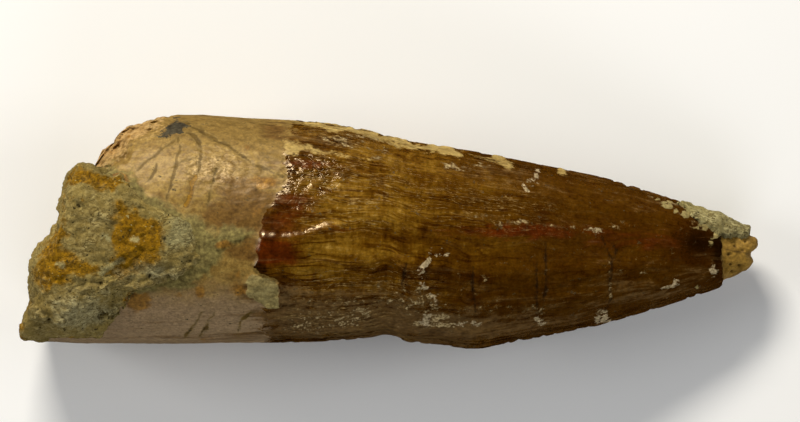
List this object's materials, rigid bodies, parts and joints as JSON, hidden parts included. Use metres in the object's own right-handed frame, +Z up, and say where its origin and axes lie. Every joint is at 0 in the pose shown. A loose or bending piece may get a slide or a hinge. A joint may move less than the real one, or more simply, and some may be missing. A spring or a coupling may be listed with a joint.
{
  "type": "fossil dinosaur tooth",
  "caption": "Tall conical fossil dinosaur tooth lying on its flank: glossy brown enamel, pale broken root in a lump of sandstone, and a stone crust at the worn tip.",
  "frame": {"origin": "middle of the footprint, on the surface that the tooth lies on", "axes": "+X runs from the broken root to the tip, +Y from the rear cutting edge to the front one, and +Z up, out of the flank that the picture shows"},
  "size_m": [0.1001, 0.0316, 0.0274],
  "materials": {
    "fossil_tooth": "glossy brown enamel and satin beige root, mineralised",
    "sandstone": "rough, sandy, with ochre stains"
  },
  "bodies": {
    "root": {"tooth": "fossil_tooth", "root_stone": "sandstone", "tip_crust": "sandstone"}
  },
  "joints": []
}
